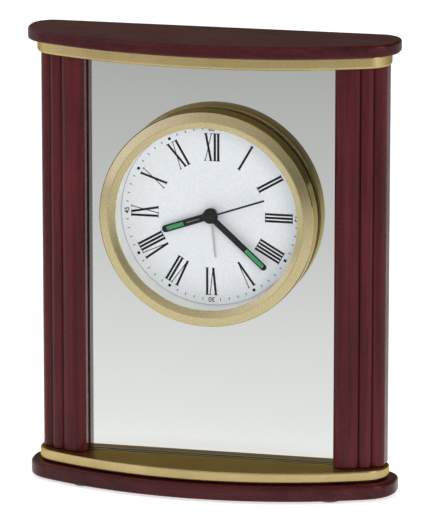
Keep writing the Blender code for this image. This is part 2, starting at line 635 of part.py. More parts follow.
# Hands, each on its own pipe, with the luminous strips let into slots.
HANDS = (
    ("alarm_hand", 18.0, 0.6, 2.9, 2.2, -11.0, 0.3, ALARM_AT, "silver_hand", None),
    ("hour_hand", 21.6, 3.0, 2.9, 1.6, -12.1, 0.4, HOUR_AT, "black_hand", (12.0, 19.6)),
    ("minute_hand", 31.6, 2.6, 2.8, 1.05, -13.4, 0.4, MINUTE_AT, "black_hand", (20.4, 29.8)),
    ("second_hand", 24.4, 0.6, 2.3, 0.5, -14.7, 0.3, SECOND_AT, "black_hand", None),
)
for name, reach, width, hub, bore, y, thick, angle, colour, strip in HANDS:
    holes = [ring(bore, 20)]
    if strip:
        holes.append(box(-0.85, 0.85, *strip))
        lume = slab(box(-0.75, 0.75, strip[0] + 0.1, strip[1] - 0.1), -0.1, thick - 0.05)
        made = node(name.replace("hand", "lume"), lume, "lume_green", smooth=False,
                    at=(0.0, y, CLOCK_Z))
        turn_to(made, angle)
    made = node(name, slab(blade(reach, width, hub), 0.0, thick, holes=holes), colour,
                smooth=False, at=(0.0, y, CLOCK_Z))
    turn_to(made, angle)
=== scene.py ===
"""Looks of the mantel clock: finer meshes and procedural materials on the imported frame."""

import json
import math

import bpy
from mathutils import Matrix, Vector
from mathutils.geometry import tessellate_polygon


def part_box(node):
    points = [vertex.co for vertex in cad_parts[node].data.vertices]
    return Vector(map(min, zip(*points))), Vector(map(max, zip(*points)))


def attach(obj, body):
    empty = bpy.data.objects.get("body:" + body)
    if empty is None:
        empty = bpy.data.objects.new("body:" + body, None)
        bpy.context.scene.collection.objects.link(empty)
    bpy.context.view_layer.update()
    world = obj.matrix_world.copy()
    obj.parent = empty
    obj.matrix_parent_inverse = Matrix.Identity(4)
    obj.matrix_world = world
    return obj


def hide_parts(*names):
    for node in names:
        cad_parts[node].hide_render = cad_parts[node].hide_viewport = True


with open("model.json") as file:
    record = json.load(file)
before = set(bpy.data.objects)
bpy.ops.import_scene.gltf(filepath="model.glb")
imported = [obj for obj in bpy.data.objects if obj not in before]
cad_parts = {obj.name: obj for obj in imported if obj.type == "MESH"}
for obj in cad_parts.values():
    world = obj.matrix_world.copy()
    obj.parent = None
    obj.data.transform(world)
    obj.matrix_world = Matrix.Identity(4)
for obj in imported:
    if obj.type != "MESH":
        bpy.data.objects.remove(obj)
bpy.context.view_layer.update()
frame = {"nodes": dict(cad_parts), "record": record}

# Named sizes are millimetres from the clock's own reference line, which stands SETBACK behind the
# frame's origin. CLOCK_Z is the height of the hands' axis. Each row of REEDS is where a reed starts
# in plan, and how far it bulges.
MM = 0.001
BOARD_HALF, BOARD_BACK, BOARD_FRONT, BOW_RADIUS = 77.5, 5.0, -36.4, 162.0
PLATE_HALF, PLATE_BACK, PLATE_FRONT, PLATE_RADIUS = 73.9, 0.9, -32.3, 157.9
COLUMN_IN, COLUMN_OUT, GROOVE_X = 52.4, 72.5, 56.2
REEDS = ((52.8, -15.0, 2.3), (62.7, -13.2, 1.5), (67.8, -10.7, 1.4), (COLUMN_OUT, -7.0, 0.0))
GLASS_FRONT, GLASS_BACK, HOLE_R = -11.0, -6.0, 41.6
BEZEL_R, CREST_R, LIP_R, TUBE_R, BORE_R = 45.0, 40.9, 38.2, 41.2, 39.7
CREST_Y, BEZEL_FRONT = -21.7, -20.0
DIAL_R, DIAL_Y = 39.4, -9.8
COVER_FRONT, COVER_BACK = 3.7, 5.2
SETBACK = Vector((0.0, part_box("top_cap")[1].y - BOARD_BACK * MM, 0.0))
CLOCK_Z = (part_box("drum")[0].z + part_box("drum")[1].z) / 2 / MM

# Camera, in metres, at the photograph's angle. Its focal length is in millimetres.
AZIMUTH, ELEVATION, DISTANCE, FOCAL = math.radians(13.35), math.radians(13.6), 2.08, 349.1
TARGET = Vector((-0.002, SETBACK.y, 0.0935))
away = Vector((math.sin(AZIMUTH) * math.cos(ELEVATION), -math.cos(AZIMUTH) * math.cos(ELEVATION),
               math.sin(ELEVATION)))
lens = bpy.data.cameras.new("camera")
lens.lens = FOCAL
lens.clip_start, lens.clip_end = 0.05, 40.0
camera = bpy.data.objects.new("camera", lens)
camera.location = TARGET + away * DISTANCE
camera.rotation_euler = (-away).to_track_quat("-Z", "Y").to_euler()
bpy.context.scene.collection.objects.link(camera)
bpy.context.scene.camera = camera
bpy.context.scene.view_settings.view_transform = "Standard"


# Node helpers.
def add(tree, kind, inputs=None, **settings):
    made = tree.nodes.new("ShaderNode" + kind)
    for key, value in settings.items():
        setattr(made, key, value)
    for key, value in (inputs or {}).items():
        if isinstance(value, bpy.types.NodeSocket):
            tree.links.new(value, made.inputs[key])
        else:
            made.inputs[key].default_value = value
    return made


def coords(tree, scale=(1.0, 1.0, 1.0)):
    where = add(tree, "TexCoord").outputs["Object"]
    return add(tree, "Mapping", {"Vector": where, "Scale": scale}).outputs[0]


def noise(tree, vector, scale=1.0, detail=3.0, rough=0.5, twist=0.0):
    return add(tree, "TexNoise", {"Vector": vector, "Scale": scale, "Detail": detail,
                                  "Roughness": rough, "Distortion": twist}).outputs[0]


def ramp(tree, value, *stops):
    made = add(tree, "ValToRGB", {"Fac": value})
    band = made.color_ramp.elements
    while len(band) < len(stops):
        band.new(0.5)
    for element, (place, colour) in zip(band, stops):
        element.position = place
        element.color = (*colour, 1.0) if len(colour) == 3 else colour
    return made.outputs[0]


def spread(tree, value, low, high, to_low, to_high):
    return add(tree, "MapRange", {"Value": value, "From Min": low, "From Max": high,
                                  "To Min": to_low, "To Max": to_high}).outputs[0]


def maths(tree, operation, a, b=0.0):
    return add(tree, "Math", {0: a, 1: b}, operation=operation).outputs[0]


def mix_of(tree, a, share, b):
    """The sum of a by its share and b by the rest."""
    rest = maths(tree, "MULTIPLY", b, 1.0 - share)
    return maths(tree, "ADD", maths(tree, "MULTIPLY", a, share), rest)


def blend(tree, factor, a, b):
    return add(tree, "Mix", {0: factor, 6: a, 7: b}, data_type="RGBA").outputs[2]


def bump(tree, height, strength, depth):
    return add(tree, "Bump", {"Strength": strength, "Distance": depth, "Height": height}).outputs[0]


def shader(name, **sockets):
    made = bpy.data.materials.new(name)
    made.use_nodes = True
    skin = made.node_tree.nodes["Principled BSDF"]
    for key, value in sockets.items():
        skin.inputs[key.replace("_", " ")].default_value = value
    return made, made.node_tree, skin


def wire(tree, skin, **links):
    for key, value in links.items():
        tree.links.new(value, skin.inputs[key.replace("_", " ")])


def edge_wear(tree, speck=900.0):
    """High on the rounded edges that mesh code marked, broken up by fine noise."""
    edge = add(tree, "Attribute", attribute_name="edge").outputs["Fac"]
    broken = spread(tree, noise(tree, coords(tree), speck, 4), 0.45, 0.7, 0, 1)
    return maths(tree, "MULTIPLY", edge, broken)


def rosewood(name, along, dark, middle, light):
    """Lacquered wood with its grain along one axis, with painted shade where mesh code marked a groove."""
    made, tree, skin = shader(name, Specular_IOR_Level=0.16, Coat_Weight=0.12, Coat_Roughness=0.12)
    scale = [384.0] * 3
    scale["XYZ".index(along)] = 12.0
    fine = [s * 7 for s in scale]
    fibre = noise(tree, coords(tree, scale), 1.0, 6, 0.62, 0.6)
    cloud = noise(tree, coords(tree), 24.0, 3, 0.5, 0.3)
    mixed = mix_of(tree, fibre, 0.7, cloud)
    body = ramp(tree, mixed, (0.34, dark), (0.5, middle), (0.68, light))
    pore = noise(tree, coords(tree, fine), 1.0, 2, 0.5)
    streak = spread(tree, pore, 0.62, 0.7, 0.0, 0.55)
    body = blend(tree, streak, body, tuple(c * 0.35 for c in dark) + (1.0,))
    worn = maths(tree, "MULTIPLY", edge_wear(tree), 0.3)
    body = blend(tree, worn, body, (light[0] * 1.9, light[1] * 2.0, light[2] * 1.9, 1.0))
    # Painted shade: the wood is blended towards a much darker tone where the column's grooves are marked.
    painted_groove_shade = add(tree, "Attribute", attribute_name="painted_groove_shade").outputs["Fac"]
    shade = tuple(c * 0.3 for c in dark) + (1.0,)
    body = blend(tree, maths(tree, "MULTIPLY", painted_groove_shade, 0.75), body, shade)
    handled = noise(tree, coords(tree), 70.0, 4, 0.6)
    rough = spread(tree, handled, 0.3, 0.75, 0.2, 0.34)
    height = maths(tree, "SUBTRACT", maths(tree, "MULTIPLY", fibre, 0.5), streak)
    wire(tree, skin, Base_Color=body, Roughness=rough, Normal=bump(tree, height, 0.25, 0.00004))
    return made


def turning(tree):
    """The radius from the clock's axis, and coordinates in which noise makes turned streaks."""
    split = add(tree, "SeparateXYZ", {0: add(tree, "TexCoord").outputs["Object"]}).outputs
    square = [maths(tree, "MULTIPLY", split[i], split[i]) for i in (0, 2)]
    radius = maths(tree, "SQRT", maths(tree, "ADD", *square))
    angle = maths(tree, "ARCTAN2", split[2], split[0])
    return radius, add(tree, "CombineXYZ", {0: maths(tree, "MULTIPLY", radius, 4000.0),
                                            1: maths(tree, "MULTIPLY", split[1], 4000.0),
                                            2: maths(tree, "MULTIPLY", angle, 1.5)}).outputs[0]


def metal(name, colour, rough, rim=None, polish=0.4, streaks=(30.0, 3000.0, 3000.0), grip=0.5,
          tarnish=0.18):
    """Brushed metal: streaks in roughness and bump, with a faint cloudy tarnish.

    With a rim radius the streaks run round the clock's axis, and the wall outside it is polished and
    darkened by painted shade.
    """
    tint = (*[min(1.0, c * 1.6) for c in colour], 1.0)
    made, tree, skin = shader(name, Metallic=1.0, Specular_Tint=tint)
    radius, around = turning(tree) if rim else (None, coords(tree, streaks))
    line = noise(tree, around, 1.0, 4, 0.6)
    cloud = noise(tree, coords(tree), 60.0, 4, 0.6, 0.4)
    deep = tuple(c * (1 - tarnish * k) for c, k in zip(colour, (1.0, 1.15, 1.5)))
    tone = ramp(tree, mix_of(tree, cloud, 0.6, line), (0.35, deep), (0.65, colour))
    shine = tuple(min(1.0, c * 1.25 + 0.03) for c in colour)
    tone = blend(tree, maths(tree, "MULTIPLY", edge_wear(tree, 1500.0), 0.5), tone, (*shine, 1.0))
    gloss = spread(tree, line, 0.3, 0.7, rough - 0.04, rough + 0.05)
    if rim:
        inner = rim - 0.0003
        gloss = maths(tree, "MULTIPLY", gloss, spread(tree, radius, inner, rim, 1.0, polish))
        # Painted shade: the wall outside the rim is blended towards a dark brown.
        shaded = spread(tree, radius, inner, rim, 0.0, 0.25)
        tone = blend(tree, shaded, tone, (0.1, 0.07, 0.03, 1.0))
        wire(tree, skin, Anisotropic=spread(tree, radius, inner, rim, 0.1, 0.0),
             Tangent=add(tree, "Tangent", direction_type="RADIAL", axis="Y").outputs[0])
    wire(tree, skin, Base_Color=tone, Roughness=gloss, Normal=bump(tree, line, grip, 0.00001))
    return made


def moulded(name, colour, rough, speck=2500.0, strength=0.3, vary=0.12, depth=0.00003, **sockets):
    """Plastic, paint, rubber or felt: a fine texture with slight colour drift."""
    made, tree, skin = shader(name, **sockets)
    fine = noise(tree, coords(tree), speck, 3, 0.6)
    drift = noise(tree, coords(tree), 45.0, 3, 0.55)
    dull = tuple(c * (1 - vary) for c in colour)
    tone = ramp(tree, mix_of(tree, fine, 0.4, drift), (0.35, dull), (0.65, colour))
    worn = maths(tree, "MULTIPLY", edge_wear(tree), 0.35)
    tone = blend(tree, worn, tone, (*[min(1.0, c * 1.3 + 0.02) for c in colour], 1.0))
    gloss = spread(tree, drift, 0.3, 0.7, rough - 0.06, rough + 0.06)
    wire(tree, skin, Base_Color=tone, Roughness=gloss, Normal=bump(tree, fine, strength, depth))
    return made


def clear(name, tint):
    """Polished pane with a faint drift of tint and the slightest smear."""
    made, tree, skin = shader(name, IOR=1.5, Transmission_Weight=1.0)
    drift = noise(tree, coords(tree), 18.0, 2)
    tone = ramp(tree, drift, (0.3, tuple(c * 0.985 for c in tint)), (0.7, tint))
    smear = noise(tree, coords(tree), 55.0, 4, 0.6)
    wire(tree, skin, Base_Color=tone, Roughness=spread(tree, smear, 0.45, 0.85, 0.0, 0.02))
    return made


def crystal(name):
    """Watch glass: clear, with a mirror share that grows at grazing angles."""
    made, tree, skin = shader(name, Metallic=1.0, Base_Color=(0.95, 0.97, 1.0, 1.0))
    share = add(tree, "Fresnel", {"IOR": 1.2}).outputs[0]
    smear = noise(tree, coords(tree), 90.0, 4, 0.6)
    share = maths(tree, "MULTIPLY", share, spread(tree, smear, 0.3, 0.7, 0.8, 1.1))
    wire(tree, skin, Alpha=share, Roughness=spread(tree, smear, 0.4, 0.8, 0.02, 0.07))
    return made


BOARD_TONES = (0.027, 0.0030, 0.0042), (0.048, 0.0052, 0.0072), (0.076, 0.0100, 0.0125)
COLUMN_TONES = (0.037, 0.0031, 0.0045), (0.066, 0.0056, 0.0078), (0.103, 0.0108, 0.0136)
BEZEL_RIM = 0.0449  # metres: the wall of bezel and drum begins here
MATERIALS = {
    "rosewood": rosewood("rosewood_board", "X", *BOARD_TONES),
    "rosewood_upright": rosewood("rosewood_upright", "Z", *COLUMN_TONES),
    "satin_brass": metal("satin_brass", (0.65, 0.51, 0.245), 0.3),
    "turned_brass": metal("turned_brass", (0.61, 0.52, 0.295), 0.23, BEZEL_RIM, grip=0.04, tarnish=0.05),
    "drum_brass": metal("drum_brass", (0.8, 0.64, 0.34), 0.42, BEZEL_RIM, 1.0, grip=0.2),
    "panel_glass": clear("panel_glass", (0.93, 0.945, 0.935)),
    "crystal_glass": crystal("crystal_glass"),
    "felt": moulded("felt", (0.03, 0.05, 0.03), 0.92, 3500.0, 0.9, 0.35, 0.0002, Sheen_Weight=0.5),
    "steel": metal("steel", (0.55, 0.56, 0.58), 0.35, tarnish=0.08),
    "dowel_beech": moulded("dowel_beech", (0.55, 0.36, 0.19), 0.6, 1200.0, 0.5, 0.25),
    "black_rubber": moulded("black_rubber", (0.02, 0.02, 0.02), 0.78),
    "cream_plastic": moulded("cream_plastic", (0.95, 0.95, 0.89), 0.5, 1500.0, 0.05, 0.02),
    "dial_white": moulded("dial_white", (0.79, 0.82, 0.855), 0.6, 1500.0, 0.01, 0.008),
    "dial_print": moulded("dial_print", (0.005, 0.006, 0.007), 0.6, 2200.0, 0.2, 0.2,
                          Specular_IOR_Level=0.15),
    "black_hand": moulded("black_hand", (0.006, 0.009, 0.007), 0.4, 2000.0, 0.15, 0.2,
                          Specular_IOR_Level=0.25),
    "silver_hand": metal("silver_hand", (0.72, 0.72, 0.72), 0.35),
    "lume_green": moulded("lume_green", (0.022, 0.34, 0.09), 0.5, 2500.0, 0.5, 0.15),
    "black_plastic": moulded("black_plastic", (0.028, 0.028, 0.03), 0.5, 2200.0, 0.5, 0.15),
    "white_plastic": moulded("white_plastic", (0.75, 0.75, 0.73), 0.45, 1500.0, 0.2, 0.05),
    "grey_plastic": moulded("grey_plastic", (0.3, 0.31, 0.33), 0.5),
    "red_plastic": moulded("red_plastic", (0.5, 0.03, 0.03), 0.4),
    "copper": metal("copper", (0.6, 0.26, 0.12), 0.35, streaks=(9000.0, 200.0, 200.0)),
    "board_green": moulded("board_green", (0.02, 0.2, 0.08), 0.45),
    "battery_wrap": moulded("battery_wrap", (0.12, 0.13, 0.16), 0.35, 800.0, 0.1),
    "magnet": metal("magnet", (0.12, 0.12, 0.13), 0.45, streaks=(2000.0, 2000.0, 2000.0)),
}
for part in frame["record"]["subparts"]:
    for spot in frame["nodes"][part["node"]].material_slots:
        spot.material = MATERIALS[part["material_slot"]]


# Mesh helpers, in millimetres.
def polar(radius, clockwise):
    turn = math.radians(clockwise)
    return radius * math.sin(turn), radius * math.cos(turn)


def ring(radius, count, centre=(0.0, 0.0)):
    spots = (polar(radius, 360.0 * i / count) for i in range(count))
    return [(centre[0] + x, centre[1] + y) for x, y in spots]


def box(u0, u1, v0, v1):
    return [(u0, v0), (u1, v0), (u1, v1), (u0, v1)]


def fillet(corners, steps=8):
    """Rounds each (u, v, radius) corner of a closed outline."""
    outline = []
    for i, (u, v, radius) in enumerate(corners):
        here = Vector((u, v))
        if not radius:
            outline.append((u, v))
            continue
        before = (Vector(corners[i - 1][:2]) - here).normalized()
        after = (Vector(corners[(i + 1) % len(corners)][:2]) - here).normalized()
        half = math.acos(max(-1.0, min(1.0, before.dot(after)))) / 2
        centre = here + (before + after).normalized() * radius / math.sin(half)
        start = here + before * radius / math.tan(half) - centre
        sweep = start.angle_signed(here + after * radius / math.tan(half) - centre)
        for k in range(steps + 1):
            arm = start.copy()
            arm.rotate(Matrix.Rotation(-sweep * k / steps, 2))
            outline.append(tuple(centre + arm))
    return outline


def round_box(u0, u1, v0, v1, radius, steps=6):
    return fillet([(u, v, radius) for u, v in box(u0, u1, v0, v1)], steps)


def area(loop):
    return sum(a[0] * b[1] - b[0] * a[1] for a, b in zip(loop, loop[1:] + loop[:1])) / 2


def anticlockwise(loop):
    return list(loop) if area(loop) > 0 else list(loop)[::-1]


def shrink(loop, by):
    """Moves an anticlockwise outline inwards."""
    moved = []
    for i, point in enumerate(loop):
        here = Vector(point)
        into = (here - Vector(loop[i - 1])).normalized()
        out = (Vector(loop[(i + 1) % len(loop)]) - here).normalized()
        inward = Vector((-into.y - out.y, into.x + out.x)).normalized()
        moved.append(tuple(here + inward * by / max(inward.dot(Vector((-into.y, into.x))), 0.3)))
    return moved


def slab(outline, a0, a1, rounded=(0.0, 0.0), holes=(), wells=(), steps=8):
    """Points, faces and edge marks of an outline extruded from a0 to a1 with rounded-over rims.

    holes are loops cut right through, wells are (centre, [(height, radius), ...], through).
    """
    outline = anticlockwise(outline)
    points, faces, marks = [], [], []

    def add_loop(loop, height, mark=0.0):
        first = len(points)
        points.extend((u, v, height) for u, v in loop)
        marks.extend([mark] * len(loop))
        return list(range(first, first + len(loop)))

    def wall(lower, upper, inside=False):
        for i in range(len(lower)):
            j = (i + 1) % len(lower)
            quad = (lower[i], lower[j], upper[j], upper[i])
            faces.append(quad[::-1] if inside else quad)

    levels = []
    for rim, height, way in ((rounded[0], a0, 1), (rounded[1], a1, -1)):
        some = [(height, 0.0, 0.0)]
        if rim:
            turns = [math.pi / 2 * k / steps for k in range(steps + 1)]
            some = [(height + way * rim * (1 - math.cos(t)), rim * (1 - math.sin(t)), math.sin(2 * t))
                    for t in turns]
        levels += some[::way]
    rings = [add_loop(shrink(outline, inset) if inset else outline, height, mark)
             for height, inset, mark in levels]
    for lower, upper in zip(rings, rings[1:]):
        wall(lower, upper)
    bottoms, tops = [rings[0]], [rings[-1]]
    for loop in holes:
        loop = anticlockwise(loop)
        lower, upper = add_loop(loop, a0), add_loop(loop, a1)
        wall(lower, upper, inside=True)
        bottoms.append(lower)
        tops.append(upper)
    for centre, profile, through in wells:
        loops = [add_loop(ring(r, 40, centre)[::-1], height) for height, r in profile]
        rising = profile[-1][0] > profile[0][0]
        for lower, upper in zip(loops, loops[1:]):
            wall(lower, upper, inside=True) if rising else wall(upper, lower, inside=True)
        (bottoms if rising else tops).append(loops[0])
        if through:
            tops.append(loops[-1])
        else:
            faces.append(tuple(loops[-1][::-1] if rising else loops[-1]))
    for loops, flip in ((bottoms, True), (tops, False)):
        flat = [index for loop in loops for index in loop]
        for tri in tessellate_polygon([[Vector(points[i][:2]).to_3d() for i in loop] for loop in loops]):
            a, b, c = (flat[k] for k in tri)
            pa, pb, pc = (Vector(points[k][:2]) for k in (a, b, c))
            faces.append((a, c, b) if ((pb - pa).cross(pc - pa) < 0) != flip else (a, b, c))
    return points, faces, marks


def turned(profile, count=192):
    """Points, faces and edge marks of a closed (radius, height, rounding) profile turned about the axis."""
    points, faces, rings, marks = [], [], [], []
    outline = fillet(profile, 5)
    hard = [Vector(p[:2]) for p in profile if p[2]]
    for radius, height in outline:
        first = len(points)
        near = min(((Vector((radius, height)) - p).length for p in hard), default=9.0)
        mark = max(0.0, 1.0 - near / 0.35)
        if radius < 1e-6:
            points.append((0.0, 0.0, height))
            marks.append(0.0)
            rings.append([first] * count)
            continue
        points.extend((*polar(radius, 360.0 * i / count), height) for i in range(count))
        marks.extend([mark] * count)
        rings.append(list(range(first, first + count)))
    for k, lower in enumerate(rings):
        upper = rings[(k + 1) % len(rings)]
        for i in range(count):
            j = (i + 1) % count
            face = []
            for index in (lower[i], lower[j], upper[j], upper[i]):
                if index not in face:
                    face.append(index)
            if len(face) > 2:
                faces.append(tuple(face))
    return points, faces, marks


def joined(*shapes):
    points, faces, marks = [], [], []
    for some, sides, edge in shapes:
        first = len(points)
        points += some
        marks += edge
        faces += [tuple(first + i for i in side) for side in sides]
    return points, faces, marks


def piece(name, shape, look, nodes=(), body="case", upright=False, at=(0, 0, CLOCK_Z)):
    """Makes the piece. A shape's height axis is world Z when upright, else world Y."""
    points, faces, marks = shape
    mesh = bpy.data.meshes.new(name)
    order = (0, 1, 2) if upright else (0, 2, 1)
    mesh.from_pydata([tuple(p[i] * MM for i in order) for p in points], [],
                     faces if upright else [f[::-1] for f in faces])
    mesh.attributes.new("edge", "FLOAT", "POINT").data.foreach_set("value", marks)
    mesh.materials.append(MATERIALS[look])
    mesh.shade_smooth()
    mesh.set_sharp_from_angle(angle=math.radians(32))
    made = bpy.data.objects.new(name, mesh)
    made.location = Vector(at) * MM + SETBACK
    bpy.context.scene.collection.objects.link(made)
    fair = made.modifiers.new("fair_normals", "WEIGHTED_NORMAL")
    fair.keep_sharp = True
    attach(made, body)
    if nodes:
        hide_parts(*nodes)
    return made


def bow(half, back, front, radius, back_corner, front_corner):
    """Plan of a bow-fronted board. The arc's points stop short of the front corners' fillets."""
    end = front + radius - math.sqrt(radius**2 - half**2)
    corners = [(half, back, back_corner), (-half, back, back_corner), (-half, end, front_corner)]
    for i in range(8, 113):
        x = -half + 2 * half * i / 120
        corners.append((x, front + radius - math.sqrt(radius**2 - x * x), 0.0))
    return fillet([*corners, (half, end, front_corner)], 14)


def bulge(start, end, sag, steps=20):
    """Points of an arc from start to end, bowed out by sag, leaving off the last."""
    a, b = Vector(start), Vector(end)
    along = (b - a).normalized()
    side = Vector((along.y, -along.x))
    radius = sag / 2 + (b - a).length_squared / (8 * sag)
    centre = (a + b) / 2 + side * (sag - radius)
    reach = math.asin((b - a).length / 2 / radius)
    turns = (reach * (2 * k / steps - 1) for k in range(steps))
    return [tuple(centre + side * radius * math.cos(t) + along * radius * math.sin(t)) for t in turns]


def levels_of(node):
    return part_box(node)[0].z / MM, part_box(node)[1].z / MM


# Boards, plates and columns.
GROUND = (0.0, 0.0, 0.0)
board = bow(BOARD_HALF, BOARD_BACK, BOARD_FRONT, BOW_RADIUS, 9.5, 15.0)
plate = bow(PLATE_HALF, PLATE_BACK, PLATE_FRONT, PLATE_RADIUS, 6.0, 12.0)
z0, z1 = levels_of("base")
sink = [(z0, 3.4), (z0 + 2.6, 3.4), (z0 + 2.6, 1.8), (z1, 1.8)]
sinks = [((side * 67.4, -4.2), sink, True) for side in (-1, 1)]
piece("base_board", slab(board, z0, z1, (1.0, 1.4), wells=sinks), "rosewood", ["base"],
      upright=True, at=GROUND)
piece("cap_board", slab(board, *levels_of("top_cap"), (0.9, 1.2)), "rosewood", ["top_cap"],
      upright=True, at=GROUND)
for word in ("lower", "upper"):
    node = word + "_brass_plate"
    piece(word + "_plate", slab(plate, *levels_of(node), (1.2, 0.8), steps=10), "satin_brass", [node],
          upright=True, at=GROUND)

section = []
for (x0, y0, sag), (x1, y1, _) in zip(REEDS, REEDS[1:]):
    section += bulge((x0, y0), (x1, y1), sag)
section += fillet([REEDS[-1], (COLUMN_OUT, 0.0, 0.8), (COLUMN_IN, 0.0, 0.8), (COLUMN_IN, -5.8, 0.15),
                   (GROOVE_X, -5.8, 0.0), (GROOVE_X, -11.2, 0.0), (COLUMN_IN, -11.2, 0.15),
                   (COLUMN_IN, -14.6, 0.0)], 5)
for side, word in ((-1, "left"), (1, "right")):
    node = "column_" + word
    shape = slab([(side * x, y) for x, y in section], *levels_of(node), (0.25, 0.25), steps=3)
    column = piece(word + "_reeded_column", shape, "rosewood_upright", [node],
                   upright=True, at=GROUND)
    # Painted shade along the grooves between the reeds, fading out within 0.55 mm of each groove.
    valleys = [min(math.dist((side * u, v), reed[:2]) for reed in REEDS[1:3]) for u, v, _ in shape[0]]
    painted_groove_shade = column.data.attributes.new("painted_groove_shade", "FLOAT", "POINT")
    painted_groove_shade.data.foreach_set("value", [max(0.0, 1.0 - gap / 0.55) for gap in valleys])

for i in range(1, 5):
    low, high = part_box(f"foot_pad_{i}")
    spot = ((low.x + high.x) / 2 / MM, ((low.y + high.y) / 2 - SETBACK.y) / MM, 0.0)
    pad = turned([(0, 0, 0), (4.5, 0, 0.15), (4.5, 1.0, 0.25), (0, 1.0, 0)], 64)
    piece(f"felt_pad_{i}", pad, "felt", [f"foot_pad_{i}"], upright=True, at=spot)

# Glass panel.
low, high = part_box("glass_panel")
pane_edge = box(low.x / MM, high.x / MM, low.z / MM - CLOCK_Z, high.z / MM - CLOCK_Z)
pane = slab(pane_edge, GLASS_FRONT, GLASS_BACK, (0.5, 0.5), [ring(HOLE_R, 192)], steps=1)
panel = piece("glass_pane", pane, "panel_glass", ["glass_panel"])
panel.visible_shadow = False

# Insert. Heights here run back along the clock's axis.
bezel = [(44.7, BEZEL_FRONT, 0.1), (BEZEL_R, -19.6, 0.2), (BEZEL_R, -12.2, 0.2), (44.7, -11.9, 0.1),
         (TUBE_R, -11.9, 0), (TUBE_R, -2.1, 0), (BORE_R, -2.1, 0), (BORE_R, -19.8, 0), (LIP_R, -19.8, 0),
         (LIP_R, -20.7, 0.12), (40.55, -21.62, 0.25), (CREST_R, CREST_Y, 0.2), (41.25, -21.62, 0.25)]
piece("bezel_ring", turned(bezel, 256), "turned_brass", ["bezel"])
drum = [(41.5, -5.1, 0), (44.6, -5.1, 0.1), (BEZEL_R, -4.7, 0.2), (BEZEL_R, 3.1, 0.2), (44.6, 3.5, 0.1),
        (43.7, 3.5, 0), (43.7, -3.7, 0), (41.5, -3.7, 0)]
piece("drum_shell", turned(drum, 256), "drum_brass", ["drum"])
for word, y in (("front", -11.75), ("rear", -5.85)):
    seal = turned([(HOLE_R, y, 0.05), (44.0, y, 0.15), (44.0, y + 0.6, 0.15), (HOLE_R, y + 0.6, 0.05)])
    piece(word + "_seal", seal, "black_rubber", [word + "_gasket"])
glass = [(0, -19.6, 0), (38.6, -19.6, 0.3), (DIAL_R, -19.1, 0.2), (DIAL_R, -18.1, 0.1), (0, -18.1, 0)]
piece("dial_crystal", turned(glass, 128), "crystal_glass", ["crystal"])
pale_ring = [(38.8, -17.9, 0.1), (DIAL_R, -17.9, 0.1), (DIAL_R, -10.0, 0.05), (38.5, -10.0, 0.05)]
piece("inner_ring", turned(pale_ring), "cream_plastic", ["dial_ring"])
face = [(2.7, DIAL_Y, 0.05), (DIAL_R, DIAL_Y, 0.05), (DIAL_R, -9.3, 0.05), (2.7, -9.3, 0.05)]
piece("dial_face", turned(face), "dial_white", ["dial"])

# Dial print, as raised ink. A numeral's foot points to the centre.
INK, INK_BACK = -9.83, -9.79
CAP_HEIGHT, FOOT_R, SPACE = 11.6, 22.4, 0.72
THICK, THIN, SERIF = 0.94, 0.33, 0.27
HOUR_MARK, MINUTE_MARK = box(-0.58, 0.58, -0.58, 0.58), box(-0.16, 0.16, -0.5, 0.5)


def stroke(x0, y0, x1, y1, width):
    """A stem whose width is measured level, so that its ends lie on the foot and cap lines."""
    half = width / 2
    return [(x0 - half, y0), (x0 + half, y0), (x1 + half, y1), (x1 - half, y1)]


def serif(x, y, reach):
    up = SERIF if y < CAP_HEIGHT / 2 else -SERIF
    return box(x - reach, x + reach, min(y, y + up), max(y, y + up))


def letter(kind):
    """Strokes and width of one capital."""
    top = CAP_HEIGHT
    if kind == "I":
        return [stroke(0, 0, 0, top, THICK), serif(0, 0, 0.74), serif(0, top, 0.74)], 0.72
    if kind == "V":
        return [stroke(1.55, 0, 0.35, top, THICK), stroke(1.62, 0, 2.85, top, THIN),
                serif(0.4, top, 0.8), serif(2.85, top, 0.5)], 2.9
    return [stroke(2.7, 0, 0.45, top, THICK), stroke(0.25, 0, 2.85, top, THIN),
            serif(2.6, 0, 0.75), serif(0.25, 0, 0.55), serif(0.5, top, 0.75), serif(2.8, top, 0.55)], 3.1


def placed(loop, clockwise, foot):
    """Turns an upright outline, standing on a foot line at that radius, to its place on the dial."""
    sine, cosine = math.sin(math.radians(clockwise)), math.cos(math.radians(clockwise))
    return [(x * cosine + (y + foot) * sine, (y + foot) * cosine - x * sine) for x, y in loop]


def ink(loop, clockwise, foot, level=0):
    """One printed shape. Crossing strokes get levels of their own."""
    return slab(placed(loop, clockwise, foot), INK - 0.004 * level, INK_BACK)


NUMERALS = ("XII", "I", "II", "III", "IIII", "V", "VI", "VII", "VIII", "IX", "X", "XI")
print_shapes = []
for hour, text in enumerate(NUMERALS):
    across, strokes = 0.0, []
    for kind in text:
        loops, width = letter(kind)
        shift = across + (THICK / 2 if kind == "I" else 0.0)
        strokes += [[(x + shift, y) for x, y in loop] for loop in loops]
        across += width + SPACE
    middle = (across - SPACE) / 2
    for level, loop in enumerate(strokes):
        moved = [(x - middle, y) for x, y in loop]
        print_shapes.append(ink(moved, 30.0 * hour, FOOT_R, level))
for minute in range(60):
    if minute % 5:
        print_shapes.append(ink(MINUTE_MARK, 6.0 * minute, 35.8))
    elif minute % 15:
        print_shapes.append(ink(HOUR_MARK, 6.0 * minute, 35.6))
piece("dial_numerals", joined(*print_shapes), "dial_print")
hairline = [(38.0, INK, 0), (38.2, INK, 0), (38.2, INK_BACK, 0), (38.0, INK_BACK, 0)]
piece("dial_hairline", turned(hairline), "grey_plastic")
